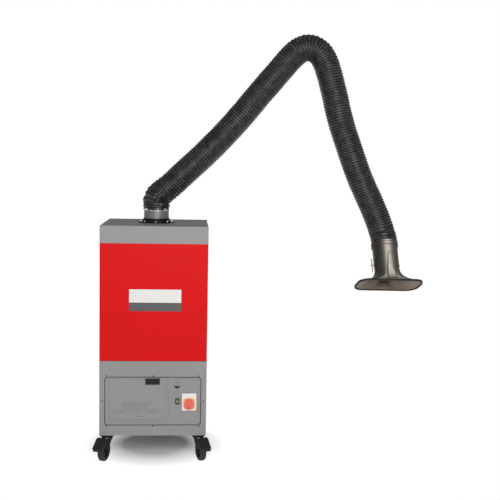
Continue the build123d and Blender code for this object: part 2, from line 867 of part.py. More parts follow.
def arm_beam(start, end, fork_length=74):
    """A box tube between two pivots: an eye at the start, a fork with its pin at the end."""
    along = unit(start, end)
    length = (end - start).length
    side = Plane(origin=start, x_dir=along, z_dir=(0, -1, 0))
    section = Plane(origin=start + along * (hub_radius - 3), x_dir=(0, 1, 0), z_dir=along)
    with BuildPart() as beam:
        with BuildSketch(section):
            Rectangle(20, 28)
            Rectangle(16, 24, mode=Mode.SUBTRACT)
        extrude(amount=length - fork_length - hub_radius + 8)
        with BuildSketch(side):
            Circle(hub_radius)
        extrude(amount=hub_width / 2, both=True)
        with BuildSketch(side):
            Circle(pin_radius + running_gap)
        extrude(amount=hub_width / 2, both=True, mode=Mode.SUBTRACT)
        with BuildSketch(side):
            with Locations((length - fork_length + 8, 0)):
                Rectangle(22, 32)
        extrude(amount=hub_width / 2 + ear_gap + ear_thick, both=True)
        for hand in (1, -1):
            with BuildSketch(side.offset(hand * (hub_width / 2 + ear_gap))):
                with Locations((length - fork_length / 2, 0)):
                    Rectangle(fork_length, 32)
                with Locations((length, 0)):
                    Circle(16)
            extrude(amount=hand * ear_thick)
        with BuildSketch(side):
            with Locations((length, 0)):
                Circle(pin_radius)
        extrude(amount=hub_width / 2 + ear_thick + 4, both=True)
    return beam


save(arm_beam(shoulder, elbow), "lower_arm_beam")
save(arm_beam(elbow, wrist, fork_length=62), "upper_arm_beam")

# The wrist bracket: an eye on the wrist pin and a fork whose pin lies across the hood
nod_axis = neck_frame.x_dir
wrist_side = Plane(origin=wrist, x_dir=unit(wrist, nod_pivot), z_dir=(0, -1, 0))
nod_length = (nod_pivot - wrist).length
nod_plane = Plane(origin=nod_pivot, x_dir=(0, 1, 0), z_dir=nod_axis)
with BuildPart() as wrist_bracket:
    with BuildSketch(wrist_side):
        Circle(16)
    extrude(amount=hub_width / 2, both=True)
    with BuildSketch(wrist_side):
        with Locations(((nod_length - 42) / 2 + 6, 0)):
            Rectangle(nod_length - 54, 24)
    extrude(amount=10, both=True)
    with BuildSketch(wrist_side):
        with Locations((nod_length - 38, 0)):
            Rectangle(10, 50)
    extrude(amount=12, both=True)
    for hand in (1, -1):
        cheek = nod_plane.offset(hand * (hub_width / 2 + ear_gap))
        with BuildSketch(cheek):
            Circle(12)
            with Locations(cheek.to_local_coords(nod_pivot + Vector(-0.1, 0, 1) * 18)):
                Rectangle(24, 40)
        extrude(amount=hand * ear_thick)
    with BuildSketch(nod_plane):
        Circle(pin_radius)
    extrude(amount=hub_width / 2 + ear_thick + 4, both=True)
    with BuildSketch(wrist_side):
        Circle(pin_radius + running_gap)
    extrude(amount=hub_width / 2, both=True, mode=Mode.SUBTRACT)
save(wrist_bracket, "wrist_bracket")

# Hose


def hose_piece(points, radii):
    """A hollow length of hose along straight runs joined by tangent arcs."""
    with BuildPart() as piece:
        with BuildLine() as route:
            if radii:
                FilletPolyline(*points, radius=radii)
            else:
                Polyline(*points)
        with BuildSketch(Plane(origin=points[0], z_dir=unit(points[0], points[1]))):
            Circle(hose_radius)
            Circle(hose_radius - hose_wall, mode=Mode.SUBTRACT)
        sweep(path=route.line)
    return piece


bend_reach = 300.0  # from the elbow corner to each end of its bend
base_end = shoulder + unit(shoulder, lower_kink) * 120
elbow_in = elbow_corner - unit(lower_kink, elbow_corner) * bend_reach
elbow_out = elbow_corner + unit(elbow_corner, upper_kink) * bend_reach
hood_in = nod_pivot - unit(upper_kink, nod_pivot) * 210

save(hose_piece([hose_start, shoulder, base_end], [shoulder_radius]), "hose_base_bend")
save(hose_piece([base_end, lower_kink, elbow_in], [kink_radius]), "hose_lower")
save(hose_piece([elbow_in, elbow_corner, elbow_out], [elbow_radius]), "hose_elbow_bend")
save(hose_piece([elbow_out, upper_kink, hood_in], [kink_radius]), "hose_upper")
save(hose_piece([hood_in, nod_pivot, neck], [nod_radius]), "hose_hood_bend")

# Hood, in its own plane with +Z back up the hose

ring_reach = 30.0
with BuildPart() as neck_ring:
    with BuildSketch(neck_frame.offset(-ring_reach)):
        Circle(neck_radius + 4)
        Circle(neck_radius, mode=Mode.SUBTRACT)
    extrude(amount=ring_reach)
    for level in (-9.0, -ring_reach + 1):  # beads
        with BuildSketch(neck_frame.offset(level)):
            Circle(neck_radius + 8)
            Circle(neck_radius + 2, mode=Mode.SUBTRACT)
        extrude(amount=8)
    with BuildSketch(neck_frame.offset(-12)):  # spider
        Rectangle(2 * neck_radius + 1, 16)
        Rectangle(16, 2 * neck_radius + 1)
    extrude(amount=5)
    with BuildSketch(neck_frame.offset(-12)):
        Circle(13)
    extrude(amount=neck_drop + 6)
    with BuildSketch(nod_plane):
        Circle(14)
    extrude(amount=hub_width / 2, both=True)
    with BuildSketch(nod_plane):
        Circle(pin_radius + running_gap)
    extrude(amount=hub_width / 2 + 2, both=True, mode=Mode.SUBTRACT)
save(neck_ring, "neck_ring")


def flare(share, inset=0.0):
    """Level, half widths and corner radius at a share of the hood's flare, which widens as a power of it."""
    level = -(flare_start + (mouth_depth - flare_start) * share + inset * share)
    grown = share**flare_power
    start = neck_radius + 1.3
    thin = inset * (1 - share)
    half = [start + (m - rim_width - start) * grown - thin for m in mouth_half]
    corner = start - 1 + (mouth_corner - rim_width - start + 1) * grown - thin
    return level, half, corner


def hood_body(radius, inset=0.0):
    """The filled shape of the hood: a straight neck of that radius, and the flare."""
    with BuildPart() as piece:
        with BuildSketch(hood.offset(-flare_start)):
            Circle(radius)
        extrude(amount=flare_start - ring_reach - rolling_gap)
        for share in (0, 0.3, 0.55, 0.75, 0.9, 1):
            level, half, corner = flare(share, inset)
            with BuildSketch(hood.offset(level)):
                RectangleRounded(2 * half[0], 2 * half[1], corner)
        loft()
    return piece


def neck_spot(x, level):
    """A plane on the neck's skin, facing outwards, on the side turned to the front."""
    spot = hood.from_local_coords(Vector(x, -sqrt((neck_radius + 2) ** 2 - x * x), level))
    return Plane(origin=spot, z_dir=spot - hood.from_local_coords(Vector(0, 0, level)))


screw_spots = [neck_spot(x, -46.0) for x in (-22.0, 22.0)]
with BuildPart() as hood_shell:
    add(hood_body(neck_radius + 2).part)
    add(hood_body(neck_radius - 2, hood_wall).part, mode=Mode.SUBTRACT)
    with BuildSketch(hood.offset(-ring_reach - 10)):  # spigot inside the neck ring
        Circle(neck_radius - running_gap)
        Circle(neck_radius - hood_wall, mode=Mode.SUBTRACT)
    extrude(amount=28)
    with BuildSketch(hood.offset(-ring_reach - rolling_gap - 4)):
        Circle(neck_radius + 2)
        Circle(neck_radius - hood_wall, mode=Mode.SUBTRACT)
    extrude(amount=4)
    shaft_plane = Plane(origin=neck + hood_axis * damper_level, x_dir=hood.y_dir, z_dir=hood.x_dir)
    with BuildSketch(shaft_plane):
        Circle(damper_shaft + running_gap)
    extrude(amount=neck_radius + 10, both=True, mode=Mode.SUBTRACT)
    for spot in screw_spots:
        with BuildSketch(spot.offset(-10)):
            Circle(screw_shank)
        extrude(amount=12, mode=Mode.SUBTRACT)
save(hood_shell, "hood_shell")

rim_seat = [2 * (m - rim_width) for m in mouth_half]
rim_bore = [2 * (m - 2 * rim_width) for m in mouth_half]
with BuildPart() as hood_rim:
    with BuildSketch(hood.offset(-mouth_depth - rim_width)):
        RectangleRounded(2 * mouth_half[0], 2 * mouth_half[1], mouth_corner)
        RectangleRounded(*rim_seat, mouth_corner - rim_width, mode=Mode.SUBTRACT)
    extrude(amount=12)
    with BuildSketch(hood.offset(-mouth_depth - rim_width)):
        RectangleRounded(*rim_seat, mouth_corner - rim_width)
        RectangleRounded(*rim_bore, mouth_corner - 2 * rim_width, mode=Mode.SUBTRACT)
    extrude(amount=rim_width)
save(hood_rim, "hood_rim")

with BuildPart() as hood_screws:
    for spot in screw_spots:
        with BuildSketch(spot.offset(0.2)):
            Circle(5)
        extrude(amount=3)
        with BuildSketch(spot.offset(-8)):
            Circle(screw_shank)
        extrude(amount=9)
save(hood_screws, "hood_screws")

with BuildPart() as damper_plate:
    with BuildSketch(Plane(origin=shaft_plane.origin, x_dir=hood.x_dir, z_dir=hood.y_dir)):
        Circle(damper_radius)
    extrude(amount=1, both=True)
    with BuildSketch(shaft_plane.offset(-neck_radius - 16)):
        Circle(damper_shaft)
    extrude(amount=2 * neck_radius + 26)
save(damper_plate, "damper_plate")

lever_gap = neck_radius + 16.0
with BuildPart() as damper_lever:
    with BuildSketch(shaft_plane.offset(-lever_gap)):
        SlotOverall(95, 20, rotation=90)
        with Locations((0, 0)):
            Circle(13)
    extrude(amount=-3)
    with BuildSketch(shaft_plane.offset(-lever_gap - 3)):
        RegularPolygon(7, 6)
    extrude(amount=-6)
save(damper_lever, "damper_lever")
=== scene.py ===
import json

import bpy
import numpy as np
from math import cos, pi, radians, sin
from mathutils import Matrix, Vector
from mathutils.bvhtree import BVHTree


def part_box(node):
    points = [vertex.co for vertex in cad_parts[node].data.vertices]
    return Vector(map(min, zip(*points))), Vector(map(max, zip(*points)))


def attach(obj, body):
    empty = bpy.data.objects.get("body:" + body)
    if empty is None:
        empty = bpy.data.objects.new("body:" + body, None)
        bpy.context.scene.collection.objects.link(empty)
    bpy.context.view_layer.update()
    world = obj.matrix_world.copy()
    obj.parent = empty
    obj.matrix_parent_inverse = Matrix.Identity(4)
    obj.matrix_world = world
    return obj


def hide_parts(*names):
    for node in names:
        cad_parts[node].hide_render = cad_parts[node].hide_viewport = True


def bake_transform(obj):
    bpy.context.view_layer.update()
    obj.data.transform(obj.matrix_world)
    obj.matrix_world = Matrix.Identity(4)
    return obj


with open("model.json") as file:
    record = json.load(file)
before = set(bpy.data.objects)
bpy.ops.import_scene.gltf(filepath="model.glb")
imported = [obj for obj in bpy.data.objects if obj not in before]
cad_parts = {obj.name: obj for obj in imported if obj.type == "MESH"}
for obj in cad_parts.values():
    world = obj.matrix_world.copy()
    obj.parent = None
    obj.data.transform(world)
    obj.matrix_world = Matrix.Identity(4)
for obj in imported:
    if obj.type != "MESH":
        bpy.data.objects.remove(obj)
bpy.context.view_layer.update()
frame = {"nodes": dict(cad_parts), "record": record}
nodes = frame["nodes"]
print("stage: frame loaded")

# camera, looking a little down and to the right
viewSizes = {"lens": 62.7, "yaw": 4.0, "pitch": 5.65, "roll": 1.09, "place": (0.2125, -5.5918, 1.8371)}


def placeCamera():
    yaw, pitch, roll = (radians(viewSizes[k]) for k in ("yaw", "pitch", "roll"))
    level = Vector((cos(yaw), -sin(yaw), 0))
    heading = Vector((sin(yaw), cos(yaw), 0))
    ahead = heading * cos(pitch) - Vector((0, 0, sin(pitch)))
    above = heading * sin(pitch) + Vector((0, 0, cos(pitch)))
    across = level * cos(roll) + above * sin(roll)
    upright = above * cos(roll) - level * sin(roll)
    data = bpy.data.cameras.new("camera")
    data.lens = viewSizes["lens"]
    data.sensor_width = 36
    data.clip_end = 100
    camera = bpy.data.objects.new("camera", data)
    turned = Matrix((across, upright, -ahead)).transposed().to_4x4()
    camera.matrix_world = Matrix.Translation(viewSizes["place"]) @ turned
    bpy.context.scene.collection.objects.link(camera)
    bpy.context.scene.camera = camera


placeCamera()
bpy.context.scene.view_settings.view_transform = "Standard"

# the room is seen as white, and lights the object with a dimmer grey that fades overhead
skySizes = {"horizon": 0.38, "zenith": 0.3, "fadeFrom": 0.2, "fadeTo": 0.45}


def makeSky():
    world = bpy.data.worlds.new("studio")
    world.use_nodes = True
    bpy.context.scene.world = world
    kinds, links = world.node_tree.nodes, world.node_tree.links
    place = kinds.new("ShaderNodeTexCoord")
    split = kinds.new("ShaderNodeSeparateXYZ")
    fade = kinds.new("ShaderNodeMapRange")
    fade.inputs["From Min"].default_value = skySizes["fadeFrom"]
    fade.inputs["From Max"].default_value = skySizes["fadeTo"]
    fade.inputs["To Min"].default_value = skySizes["horizon"]
    fade.inputs["To Max"].default_value = skySizes["zenith"]
    ray = kinds.new("ShaderNodeLightPath")
    shown = kinds.new("ShaderNodeMix")
    shown.inputs["B"].default_value = 1.0
    kinds["Background"].inputs["Color"].default_value = (1, 1, 1, 1)
    links.new(place.outputs["Generated"], split.inputs[0])
    links.new(split.outputs["Z"], fade.inputs["Value"])
    links.new(ray.outputs["Is Camera Ray"], shown.inputs["Factor"])
    links.new(fade.outputs["Result"], shown.inputs["A"])
    links.new(shown.outputs["Result"], kinds["Background"].inputs["Strength"])


makeSky()

# soft lights: place, target, size in metres, watts, colour
lightSizes = {
    "keyLight": ((0.9, -5.6, 3.1), (0.3, 0, 1.0), 2.6, 325.0, (1, 0.97, 0.93)),
    "fillLight": ((-3.8, -3.6, 2.2), (0.2, 0, 1.1), 2.4, 24.0, (0.95, 0.98, 1)),
    "hoodLight": ((2.9, -4.0, 5.4), (1.50, 0, 1.25), 5.0, 1500.0, (1, 0.9, 0.8)),
}


def areaLight(name, place, target, size, power, color):
    data = bpy.data.lights.new(name, "AREA")
    data.size = size
    data.energy = power
    data.color = color
    lamp = bpy.data.objects.new(name, data)
    lamp.location = place
    lamp.rotation_euler = (Vector(target) - Vector(place)).to_track_quat("-Z", "Y").to_euler()
    bpy.context.scene.collection.objects.link(lamp)
    return lamp


lamps = {name: areaLight(name, *sizes) for name, sizes in lightSizes.items()}
hoodOnly = bpy.data.collections.new("hoodOnly")  # what the hood light reaches
for lit in ("hood_shell", "neck_ring"):
    hoodOnly.objects.link(nodes[lit])
lamps["hoodLight"].light_linking.receiver_collection = hoodOnly
print("stage: camera and light")


# materials
def nodeWith(tree, kind, values, operation=None):
    node = tree.nodes.new(kind)
    if operation:
        node.operation = operation
    for key, value in values.items():
        node.inputs[key].default_value = value
    return node


def surface(name, color, rough, metal=0.0, tone=0.06, toneScale=5.0, grain=0.12, grainScale=500.0,
            roughSpread=0.06, gloss=0.5):
    # color is linear; tone is how far the colour drifts, grain the depth of the fine bump
    material = bpy.data.materials.new(name)
    material.use_nodes = True
    tree = material.node_tree
    shader = tree.nodes["Principled BSDF"]
    shader.inputs["Metallic"].default_value = metal
    shader.inputs["Specular IOR Level"].default_value = gloss
    place = tree.nodes.new("ShaderNodeTexCoord")
    drift = nodeWith(tree, "ShaderNodeTexNoise", {"Scale": toneScale, "Detail": 4.0})
    fine = nodeWith(tree, "ShaderNodeTexNoise", {"Scale": grainScale, "Detail": 2.0})
    blendColor = tree.nodes.new("ShaderNodeMix")
    blendColor.data_type = "RGBA"
    blendColor.inputs["A"].default_value = (*[c * (1 - tone) for c in color], 1)
    blendColor.inputs["B"].default_value = (*[min(1.0, c * (1 + tone)) for c in color], 1)
    shine = nodeWith(tree, "ShaderNodeMapRange", {
        "From Min": 0.3, "From Max": 0.7, "To Min": rough - roughSpread, "To Max": rough + roughSpread})
    bump = nodeWith(tree, "ShaderNodeBump", {"Strength": grain, "Distance": 0.0004})
    tree.links.new(place.outputs["Object"], drift.inputs["Vector"])
    tree.links.new(place.outputs["Object"], fine.inputs["Vector"])
    tree.links.new(drift.outputs["Fac"], blendColor.inputs["Factor"])
    tree.links.new(drift.outputs["Fac"], shine.inputs["Value"])
    tree.links.new(fine.outputs["Fac"], bump.inputs["Height"])
    tree.links.new(blendColor.outputs["Result"], shader.inputs["Base Color"])
    tree.links.new(shine.outputs["Result"], shader.inputs["Roughness"])
    tree.links.new(bump.outputs["Normal"], shader.inputs["Normal"])
    return material


greyPaint = surface("greyPaint", (0.185, 0.185, 0.187), 0.5, tone=0.05, grain=0.25, grainScale=900, gloss=0.3)
redPaint = surface("redPaint", (0.44, 0.002, 0.0035), 0.45, tone=0.05, grain=0.25, grainScale=900, gloss=0.1)
blackPaint = surface("blackPaint", (0.004, 0.0042, 0.005), 0.42, grain=0.2, grainScale=700, gloss=0.15)
zincSteel = surface("zincSteel", (0.55, 0.56, 0.57), 0.32, metal=1.0, tone=0.12, toneScale=60)
galvanised = surface("galvanised", (0.14, 0.15, 0.16), 0.5, metal=0.6, tone=0.35, toneScale=35)
hoseFabric = surface("hoseFabric", (0.001, 0.001, 0.001), 0.4, tone=0.0, toneScale=7, grainScale=600,
                     roughSpread=0.12, gloss=0.42)
hoodPlastic = surface("hoodPlastic", (0.006, 0.0049, 0.0041), 0.42, tone=0.12, toneScale=9, grain=0.03)
rimRubber = surface("rimRubber", (0.01, 0.0085, 0.008), 0.6, gloss=0.3)
blackPlastic = surface("blackPlastic", (0.0085, 0.0085, 0.0095), 0.45, grain=0.35, grainScale=1500, gloss=0.3)
displayWindow = surface("displayWindow", (0.006, 0.006, 0.01), 0.25, grain=0.02, gloss=0.25)
whitePlastic = surface("whitePlastic", (0.56, 0.55, 0.51), 0.4)
yellowPlastic = surface("yellowPlastic", (0.6, 0.36, 0.07), 0.4)
redPlastic = surface("redPlastic", (0.58, 0.1, 0.085), 0.35)
lightPlastic = surface("lightPlastic", (0.11, 0.125, 0.075), 0.4)
sealRubber = surface("sealRubber", (0.008, 0.008, 0.008), 0.7, gloss=0.2)
platePrint = surface("platePrint", (0.5, 0.5, 0.497), 0.42, tone=0.02)
castAlloy = surface("castAlloy", (0.42, 0.43, 0.44), 0.45, metal=0.8, tone=0.1, grain=0.6, grainScale=400)
filterCloth = surface("filterCloth", (0.6, 0.58, 0.52), 0.9, grain=0.6, grainScale=1200)
tyreRubber = surface("tyreRubber", (0.014, 0.014, 0.0155), 0.65, tone=0.2, toneScale=40, gloss=0.3)
leverZinc = surface("leverZinc", (0.5, 0.49, 0.46), 0.38, metal=0.6, tone=0.1, toneScale=50)
printAndEmbossShade = surface("printAndEmbossShade", (0.105, 0.105, 0.107), 0.5, tone=0.05)
darkRed = surface("darkRed", (0.16, 0.02, 0.018), 0.4)
# painted shade for the panel gap, the housing seam, the horn's shadow and the screw recesses
paintedShade = surface("paintedShade", (0.01, 0.01, 0.01), 0.8, gloss=0.1)


def tint(material, color, share):
    # carries the finish over to color where share is 1
    tree = material.node_tree
    over = tree.nodes.new("ShaderNodeMix")
    over.data_type = "RGBA"
    over.inputs["B"].default_value = (*color, 1)
    tree.links.new(tree.nodes["Mix"].outputs["Result"], over.inputs["A"])
    tree.links.new(share, over.inputs["Factor"])
    tree.links.new(over.outputs["Result"], tree.nodes["Principled BSDF"].inputs["Base Color"])


# painted highlight: hose rib tops are painted lighter than the folds between them, in patches, standing in
# for glints on the ribs
ribHighlight = {
    "color": (0.03, 0.0336, 0.0375), "sharpness": 2.0, "patchScale": 30.0, "patchFrom": 0.4, "patchTo": 0.62,
    "faintest": 0.1,
}


# paints the highlight onto the rib tops
def paintRibHighlights():
    tree = hoseFabric.node_tree
    rib = tree.nodes.new("ShaderNodeAttribute")
    rib.attribute_name = "rib"
    patch = nodeWith(tree, "ShaderNodeTexNoise", {"Scale": ribHighlight["patchScale"], "Detail": 3.0})
    spread = nodeWith(tree, "ShaderNodeMapRange", {
        "From Min": ribHighlight["patchFrom"], "From Max": ribHighlight["patchTo"],
        "To Min": ribHighlight["faintest"]})
    sharp = nodeWith(tree, "ShaderNodeMath", {1: ribHighlight["sharpness"]}, "POWER")
    share = nodeWith(tree, "ShaderNodeMath", {}, "MULTIPLY")
    tree.links.new(tree.nodes["Texture Coordinate"].outputs["Object"], patch.inputs["Vector"])
    tree.links.new(patch.outputs["Fac"], spread.inputs["Value"])
    tree.links.new(rib.outputs["Fac"], sharp.inputs[0])
    tree.links.new(sharp.outputs[0], share.inputs[0])
    tree.links.new(spread.outputs["Result"], share.inputs[1])
    tint(hoseFabric, ribHighlight["color"], share.outputs[0])


# the hood leans at its nod axis and is turned about its neck; lean, roll and turn are in degrees
hoodSizes = {"lean": 27.0, "roll": 1.5, "turn": 6.0, "nodPlace": (1.472, 0, 1.404), "neckDrop": 0.075}
hoodLean, hoodRoll, hoodTurn = (radians(hoodSizes[k]) for k in ("lean", "roll", "turn"))
hoodDown = Vector((sin(hoodRoll), -sin(hoodLean) * cos(hoodRoll), -cos(hoodLean) * cos(hoodRoll)))
# painted light for the hood's inside: its colour and how far the faces must look down the hood
insideLight = {"color": (0.12, 0.084, 0.058), "from": 0.05, "to": 0.45}


def paintHoodInsideLight():
    # painted light: faces that look down the hood are painted a lighter brown, standing in for light bounced
    # into its inside
    tree = hoodPlastic.node_tree
    facing = nodeWith(tree, "ShaderNodeVectorMath", {1: hoodDown}, "DOT_PRODUCT")
    inside = nodeWith(tree, "ShaderNodeMapRange", {
        "From Min": insideLight["from"], "From Max": insideLight["to"]})
    tree.links.new(tree.nodes["Texture Coordinate"].outputs["Normal"], facing.inputs[0])
    tree.links.new(facing.outputs["Value"], inside.inputs["Value"])
    tint(hoodPlastic, insideLight["color"], inside.outputs["Result"])


# the plate is in two tones, split at a height above the floor
plateFinish = {"color": (0.048, 0.049, 0.052), "split": 0.986}


def tintPlate():
    tree = platePrint.node_tree
    height = tree.nodes.new("ShaderNodeSeparateXYZ")
    lower = nodeWith(tree, "ShaderNodeMath", {1: plateFinish["split"]}, "LESS_THAN")
    tree.links.new(tree.nodes["Texture Coordinate"].outputs["Object"], height.inputs[0])
    tree.links.new(height.outputs["Z"], lower.inputs[0])
    tint(platePrint, plateFinish["color"], lower.outputs[0])


paintRibHighlights()
paintHoodInsideLight()
tintPlate()

finishes = {
    "grey_paint": greyPaint, "red_paint": redPaint, "black_paint": blackPaint, "zinc_steel": zincSteel,
    "galvanised_sheet": galvanised, "hose_fabric": hoseFabric, "hood_plastic": hoodPlastic,
    "rim_rubber": rimRubber, "black_plastic": blackPlastic, "display_window": displayWindow,
    "white_plastic": whitePlastic, "yellow_plastic": yellowPlastic, "red_plastic": redPlastic,
    "light_plastic": lightPlastic, "seal_rubber": sealRubber, "plate_print": platePrint,
    "cast_alloy": castAlloy, "filter_cloth": filterCloth, "tyre_rubber": tyreRubber, "lever_zinc": leverZinc,
}
slotOf = {s["node"]: s["material_slot"] for s in frame["record"]["subparts"]}
for name, node in nodes.items():
    node.data.materials.clear()
    node.data.materials.append(finishes[slotOf[name]])
print("stage: materials")


# making pieces
def meshPiece(name, points, faces, material, smooth=True):
    mesh = bpy.data.meshes.new(name)
    mesh.from_pydata([tuple(p) for p in points], [], [tuple(f) for f in faces])
    mesh.materials.append(material)
    mesh.polygons.foreach_set("use_smooth", [smooth] * len(mesh.polygons))
    mesh.update()
    piece = bpy.data.objects.new(name, mesh)
    bpy.context.scene.collection.objects.link(piece)
    return piece


def bandFaces(base, count):
    # faces between two neighbouring loops of count points, the first of which starts at base
    return [(base + k, base + (k + 1) % count, base + count + (k + 1) % count, base + count + k)
            for k in range(count)]


def newTree(name, sizes):
    # a Geometry Nodes tree with an input for each size and one for the material
    tree = bpy.data.node_groups.new(name, "GeometryNodeTree")
    tree.interface.new_socket("Geometry", in_out="INPUT", socket_type="NodeSocketGeometry")
    for label, value in sizes.items():
        kind = "NodeSocketInt" if isinstance(value, int) else "NodeSocketFloat"
        tree.interface.new_socket(label, in_out="INPUT", socket_type=kind).default_value = value
    tree.interface.new_socket("material", in_out="INPUT", socket_type="NodeSocketMaterial")
    tree.interface.new_socket("Geometry", in_out="OUTPUT", socket_type="NodeSocketGeometry")
    return tree, tree.nodes.new("NodeGroupInput"), tree.nodes.new("NodeGroupOutput")


def closeTree(tree, made, source, result):
    real = tree.nodes.new("GeometryNodeRealizeInstances")
    paint = tree.nodes.new("GeometryNodeSetMaterial")
    tree.links.new(made, real.inputs[0])
    tree.links.new(real.outputs[0], paint.inputs["Geometry"])
    tree.links.new(source.outputs["material"], paint.inputs["Material"])
    tree.links.new(paint.outputs[0], result.inputs[0])


def bake(piece, tree, sizes, material, name):
    # runs the tree on piece and leaves a plain mesh object at the origin
    live = piece.modifiers.new("build", "NODES")
    live.node_group = tree
    values = {**sizes, "material": material}
    for item in tree.interface.items_tree:
        if item.in_out == "INPUT" and item.name in values:
            live[item.identifier] = values[item.name]
    piece.update_tag()
    bpy.context.view_layer.update()
    evaluated = piece.evaluated_get(bpy.context.evaluated_depsgraph_get())
    mesh = bpy.data.meshes.new_from_object(evaluated)
    mesh.name = name
    mesh.materials.clear()
    mesh.materials.append(material)
    mesh.polygons.foreach_set("material_index", [0] * len(mesh.polygons))
    bpy.data.objects.remove(piece)
    made = bpy.data.objects.new(name, mesh)
    bpy.context.scene.collection.objects.link(made)
    return made


def mathNode(tree, operation, *values):
    node = nodeWith(tree, "ShaderNodeMath", {}, operation)
    for index, value in enumerate(values):
        if isinstance(value, (int, float)):
            node.inputs[index].default_value = value
        else:
            tree.links.new(value, node.inputs[index])
    return node.outputs[0]


# ribbed hose over the arm; the base's extra crumple is full up to baseFull along it and gone at baseReach
hoseSizes = {
    "radius": 0.0780, "pitch": 0.0168, "ribHeight": 0.0062, "ribPower": 0.8, "drift": 0.35, "crumple": 0.0016,
    "baseCrumple": 0.008, "baseFull": 0.08, "baseReach": 0.34, "slowScale": 9.0, "quickScale": 38.0,
    "ringStep": 0.0021, "sides": 64,
}
# middle of the hose, x and z in mm, and its end in the hood's neck ring
hoseLine = [(0, 1532), (0, 1572), (6, 1610), (43, 1651), (88, 1688), (163, 1760), (334, 1923), (510, 2114),
            (661, 2298), (784, 2443), (850, 2520), (905, 2564), (953, 2577), (1006, 2560), (1052, 2508),
            (1086, 2425), (1118, 2317), (1169, 2128), (1236, 1938), (1312, 1747), (1402, 1560), (1447, 1455),
            (1470, 1388)]
hoseEnd = [Vector((1.4738, -0.017, 1.366)), Vector((1.4748, -0.038, 1.330))]


def hoseTube(tree, source):
    # a plain tube that knows how far along and around each point is
    links = tree.links
    spread = tree.nodes.new("GeometryNodeResampleCurve")
    spread.mode = "LENGTH"
    links.new(source.outputs["Geometry"], spread.inputs["Curve"])
    links.new(source.outputs["ringStep"], spread.inputs["Length"])
    circle = tree.nodes.new("GeometryNodeCurvePrimitiveCircle")
    links.new(source.outputs["radius"], circle.inputs["Radius"])
    links.new(source.outputs["sides"], circle.inputs["Resolution"])
    kept = []
    for label, curve, measure in (("along", spread, "Length"), ("around", circle, "Factor")):
        keep = tree.nodes.new("GeometryNodeCaptureAttribute")
        keep.capture_items.new("FLOAT", label)
        spline = tree.nodes.new("GeometryNodeSplineParameter")
        links.new(curve.outputs["Curve"], keep.inputs["Geometry"])
        links.new(spline.outputs[measure], keep.inputs[label])
        kept.append(keep)
    sweep = tree.nodes.new("GeometryNodeCurveToMesh")
    links.new(kept[0].outputs["Geometry"], sweep.inputs["Curve"])
    links.new(kept[1].outputs["Geometry"], sweep.inputs["Profile Curve"])
    return sweep.outputs["Mesh"], kept[0].outputs["along"], kept[1].outputs["around"]


def hoseTree():
    tree, source, result = newTree("hoseShape", hoseSizes)
    links, size = tree.links, source.outputs
    tube, along, around = hoseTube(tree, source)
    place = tree.nodes.new("GeometryNodeInputPosition")
    noises = []
    for scale, detail in (("slowScale", 2.0), ("quickScale", 3.0)):
        noise = nodeWith(tree, "ShaderNodeTexNoise", {"Detail": detail})
        links.new(place.outputs[0], noise.inputs["Vector"])
        links.new(size[scale], noise.inputs["Scale"])
        noises.append(mathNode(tree, "SUBTRACT", noise.outputs["Fac"], 0.5))
    # one rib for each turn of the wire
    turns = mathNode(tree, "ADD", mathNode(tree, "DIVIDE", along, size["pitch"]), around)
    turns = mathNode(tree, "ADD", turns, mathNode(tree, "MULTIPLY", noises[0], size["drift"]))
    wave = mathNode(tree, "ABSOLUTE", mathNode(tree, "COSINE", mathNode(tree, "MULTIPLY", turns, pi)))
    rib = mathNode(tree, "POWER", wave, size["ribPower"])
    height = mathNode(tree, "MULTIPLY", rib, size["ribHeight"])
    # crumpled cloth, most of all at the base
    nearBase = nodeWith(tree, "ShaderNodeMapRange", {})
    links.new(along, nearBase.inputs["Value"])
    links.new(size["baseReach"], nearBase.inputs["From Min"])
    links.new(size["baseFull"], nearBase.inputs["From Max"])
    extra = mathNode(tree, "MULTIPLY", nearBase.outputs["Result"], size["baseCrumple"])
    depth = mathNode(tree, "MULTIPLY", mathNode(tree, "ADD", size["crumple"], extra), 2.0)
    folds = mathNode(tree, "MULTIPLY", mathNode(tree, "ADD", *noises), depth)
    normal = tree.nodes.new("GeometryNodeInputNormal")
    push = nodeWith(tree, "ShaderNodeVectorMath", {}, "SCALE")
    links.new(normal.outputs[0], push.inputs[0])
    links.new(mathNode(tree, "ADD", height, folds), push.inputs["Scale"])
    move = tree.nodes.new("GeometryNodeSetPosition")
    links.new(tube, move.inputs["Geometry"])
    links.new(push.outputs[0], move.inputs["Offset"])
    store = nodeWith(tree, "GeometryNodeStoreNamedAttribute", {"Name": "rib"})
    links.new(move.outputs[0], store.inputs["Geometry"])
    links.new(rib, store.inputs["Value"])
    closeTree(tree, store.outputs[0], source, result)
    return tree


def hoseCurve():
    data = bpy.data.curves.new("hoseLine", "CURVE")
    data.dimensions = "3D"
    data.resolution_u = 24
    data.twist_mode = "MINIMUM"
    points = [Vector((x / 1000, 0, z / 1000)) for x, z in hoseLine] + hoseEnd
    spline = data.splines.new("BEZIER")
    spline.bezier_points.add(len(points) - 1)
    for knot, point in zip(spline.bezier_points, points):
        knot.co = point
        knot.handle_left_type = knot.handle_right_type = "AUTO"
    curve = bpy.data.objects.new("hoseLine", data)
    bpy.context.scene.collection.objects.link(curve)
    return curve


# each part of the hose covers the bend at one joint, and meets the next where the arm is straight: name,
# bodies, x and z where the bend starts and ends, and where the part stops
hoseParts = [
    ("hoseBase", "slew", "lower_arm", (0, 1.560), (0.150, 1.767), (0.420, 2.034)),
    ("hoseElbow", "lower_arm", "upper_arm", (0.830, 2.512), (1.118, 2.345), (1.240, 1.925)),
    ("hoseWrist", "upper_arm", "wrist", (1.402, 1.571), (1.447, 1.468), (1.452, 1.455)),
    ("hoseHood", "wrist", "hood_neck", (1.452, 1.450), (1.4745, 1.352), None),
]


